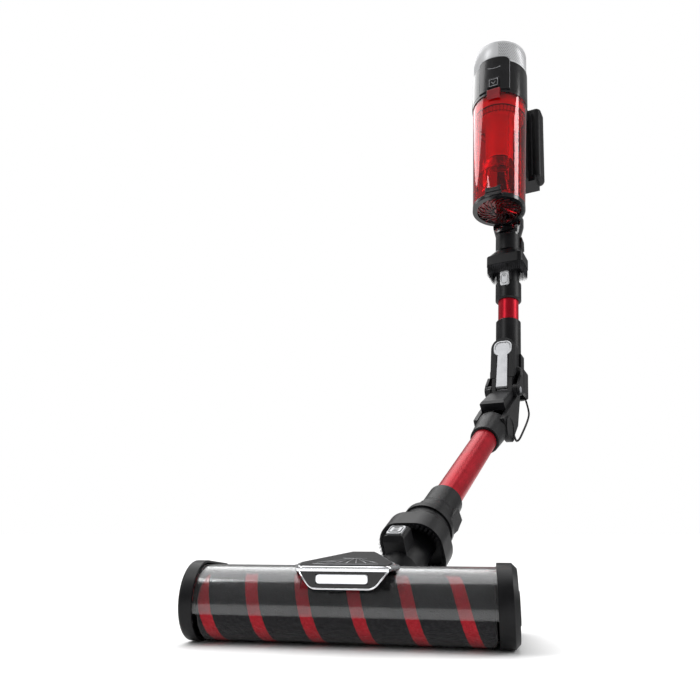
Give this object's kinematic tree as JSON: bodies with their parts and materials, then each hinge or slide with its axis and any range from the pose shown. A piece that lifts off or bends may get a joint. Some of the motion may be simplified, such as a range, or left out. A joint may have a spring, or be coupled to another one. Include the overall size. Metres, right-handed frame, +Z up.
{
  "type": "cordless stick vacuum",
  "caption": "Cordless stick vacuum with a soft roller head, a wand that folds at its middle, clip-on brushes, a clear dust bin and a battery behind the grip.",
  "frame": {"origin": "middle of the felt strip on the floor, behind the roller", "axes": "+X to the head's right, +Y from the roller towards the wand, +Z up"},
  "size_m": [0.4009, 0.8769, 1.0066],
  "materials": {
    "black_plastic": "gloss",
    "bristle": "fine fibres",
    "chrome": "polished",
    "clear": "clear",
    "felt": "felt",
    "foam": "pleated paper",
    "grey_plastic": "satin",
    "lens": "frosted",
    "motor_metal": "cast",
    "red_clear": "clear tinted",
    "red_plastic": "gloss",
    "red_tube": "anodised",
    "rubber": "matt",
    "silver_plastic": "satin",
    "velour": "short pile",
    "white_plastic": "gloss"
  },
  "bodies": {
    "handheld": {"inlet_spine": "black_plastic", "motor_housing": "black_plastic", "front_panel": "black_plastic", "exhaust_cap": "white_plastic", "grip": "black_plastic", "pre_motor_filter": "foam", "fan_motor": "motor_metal"},
    "mode_button": {"mode_button": "black_plastic"},
    "trigger": {"trigger": "red_plastic"},
    "battery": {"battery": "black_plastic"},
    "battery_release": {"battery_release": "red_plastic"},
    "impeller": {"impeller": "motor_metal"},
    "bin": {"bin_shell": "red_clear", "bin_rim": "black_plastic", "filter_cone": "red_plastic", "cyclone_skirt": "red_clear", "bin_inlet_duct": "red_plastic"},
    "bin_latch": {"bin_latch": "red_plastic"},
    "bin_lid": {"lid_ring": "black_plastic", "lid_window": "red_clear"},
    "lid_latch": {"lid_latch": "grey_plastic"},
    "upper_wand": {"wand_connector": "grey_plastic", "upper_collar": "grey_plastic", "upper_tube": "red_tube", "upper_sleeve": "grey_plastic", "upper_knuckle": "grey_plastic", "lever_channel": "grey_plastic", "flex_pins": "motor_metal", "flex_hose": "rubber", "flex_cable": "rubber"},
    "wand_release": {"wand_release": "silver_plastic"},
    "upper_brush": {"upper_brush_shell": "grey_plastic", "upper_brush_bristles": "bristle"},
    "flex_lever": {"flex_lever": "silver_plastic"},
    "lower_wand": {"lower_knuckle": "grey_plastic", "knuckle_hood": "grey_plastic", "lower_tube": "red_tube", "lower_sleeve": "grey_plastic"},
    "lower_brush": {"lower_brush_cup": "grey_plastic", "lower_brush_bristles": "bristle"},
    "connector": {"head_connector": "grey_plastic"},
    "head_release": {"head_release": "silver_plastic"},
    "neck": {"neck_yoke": "black_plastic"},
    "head": {"head_chassis": "black_plastic", "felt_strip": "felt", "roller_window": "clear", "top_plate": "grey_plastic", "plate_trim": "chrome", "light_bezel": "black_plastic", "light_bar": "lens", "end_cap_left": "grey_plastic", "end_cap_right": "grey_plastic", "head_motor": "motor_metal", "drive_belt": "rubber"},
    "roller": {"roller_core": "grey_plastic", "roller_velour": "velour"},
    "roller_release": {"roller_release": "red_plastic"},
    "motor_pulley": {"motor_pulley": "motor_metal"},
    "wheel_left": {"wheel_left": "rubber"},
    "wheel_right": {"wheel_right": "rubber"}
  },
  "joints": [
    {"name": "mode_press", "type": "slide", "parent": "handheld", "child": "mode_button", "axis": [0.3033, 0.9336, -0.1908], "range_m": [0, 0.001], "stiffness_N_per_m": 400},
    {"name": "trigger_pull", "type": "slide", "parent": "handheld", "child": "trigger", "axis": [0.3033, 0.9336, -0.1908], "range_m": [0, 0.004], "stiffness_N_per_m": 300},
    {"name": "battery_slide", "type": "slide", "parent": "handheld", "child": "battery", "axis": [0.3033, 0.9336, -0.1908], "range_m": [0, 0.03]},
    {"name": "battery_button", "type": "slide", "parent": "battery", "child": "battery_release", "axis": [-0.3033, -0.9336, 0.1908], "range_m": [0, 0.001], "stiffness_N_per_m": 400},
    {"name": "fan_spin", "type": "hinge", "parent": "handheld", "child": "impeller", "pos_m": [0.17313, 0.60491, 0.89428], "axis": [0.059, 0.1815, 0.9816], "continuous": true},
    {"name": "bin_slide", "type": "slide", "parent": "handheld", "child": "bin", "axis": [-0.3033, -0.9336, 0.1908], "range_m": [0, 0.06]},
    {"name": "bin_tab", "type": "slide", "parent": "bin", "child": "bin_latch", "axis": [-0.059, -0.1815, -0.9816], "range_m": [0, 0.001], "stiffness_N_per_m": 400},
    {"name": "lid_swing", "type": "hinge", "parent": "bin", "child": "bin_lid", "pos_m": [0.1726, 0.60327, 0.63178], "axis": [0.9511, -0.309, 0], "range_deg": [0, 20]},
    {"name": "lid_latch_press", "type": "slide", "parent": "bin", "child": "lid_latch", "axis": [0.059, 0.1815, 0.9816], "range_m": [0, 0.002], "stiffness_N_per_m": 400},
    {"name": "upper_detach", "type": "slide", "parent": "handheld", "child": "upper_wand", "axis": [-0.059, -0.1815, -0.9816], "range_m": [0, 0.018]},
    {"name": "wand_button", "type": "slide", "parent": "upper_wand", "child": "wand_release", "axis": [0.3033, 0.9336, -0.1908], "range_m": [0, 0.0012], "stiffness_N_per_m": 400},
    {"name": "upper_brush_slide", "type": "slide", "parent": "upper_wand", "child": "upper_brush", "axis": [-0.059, -0.1815, -0.9816], "range_m": [0, 0.01]},
    {"name": "lever_pull", "type": "hinge", "parent": "upper_wand", "child": "flex_lever", "pos_m": [0.14562, 0.52024, 0.31054], "axis": [0.9511, -0.309, 0], "range_deg": [0, 12], "stiffness_Nm_per_rad": 1.5},
    {"name": "wand_fold", "type": "hinge", "parent": "upper_wand", "child": "lower_wand", "pos_m": [0.14729, 0.52539, 0.30695], "axis": [0.9511, -0.309, 0], "range_deg": [-30, 49.7], "deforming": ["flex_hose", "flex_cable"]},
    {"name": "lower_brush_slide", "type": "slide", "parent": "lower_wand", "child": "lower_brush", "axis": [-0.2695, -0.8295, -0.4891], "range_m": [0, 0.003]},
    {"name": "lower_detach", "type": "slide", "parent": "lower_wand", "child": "connector", "axis": [-0.2695, -0.8295, -0.4891], "range_m": [0, 0.03]},
    {"name": "head_button", "type": "slide", "parent": "connector", "child": "head_release", "axis": [0.1511, 0.4651, -0.8722], "range_m": [0, 0.0015], "stiffness_N_per_m": 400},
    {"name": "neck_swivel", "type": "hinge", "parent": "connector", "child": "neck", "pos_m": [0.012, 0.109, 0.0305], "axis": [0, -0.5079, 0.8614], "range_deg": [-50, 50]},
    {"name": "neck_tilt", "type": "hinge", "parent": "neck", "child": "head", "pos_m": [0.012, 0.072, 0.02], "axis": [1, 0, 0], "range_deg": [-25, 20]},
    {"name": "roller_spin", "type": "hinge", "parent": "head", "child": "roller", "pos_m": [0, -0.04, 0.027], "axis": [1, 0, 0], "continuous": true},
    {"name": "roller_button", "type": "slide", "parent": "head", "child": "roller_release", "axis": [-1, 0, 0], "range_m": [0, 0.001], "stiffness_N_per_m": 400},
    {"name": "pulley_spin", "type": "hinge", "parent": "head", "child": "motor_pulley", "pos_m": [-0.125, 0.014, 0.026], "axis": [1, 0, 0], "continuous": true},
    {"name": "left_wheel_spin", "type": "hinge", "parent": "head", "child": "wheel_left", "pos_m": [-0.072, 0.047, 0.009], "axis": [1, 0, 0], "continuous": true},
    {"name": "right_wheel_spin", "type": "hinge", "parent": "head", "child": "wheel_right", "pos_m": [0.072, 0.047, 0.009], "axis": [1, 0, 0], "continuous": true}
  ],
  "couplings": [
    {"joint": "pulley_spin", "follows": "roller_spin", "ratio": 2}
  ]
}
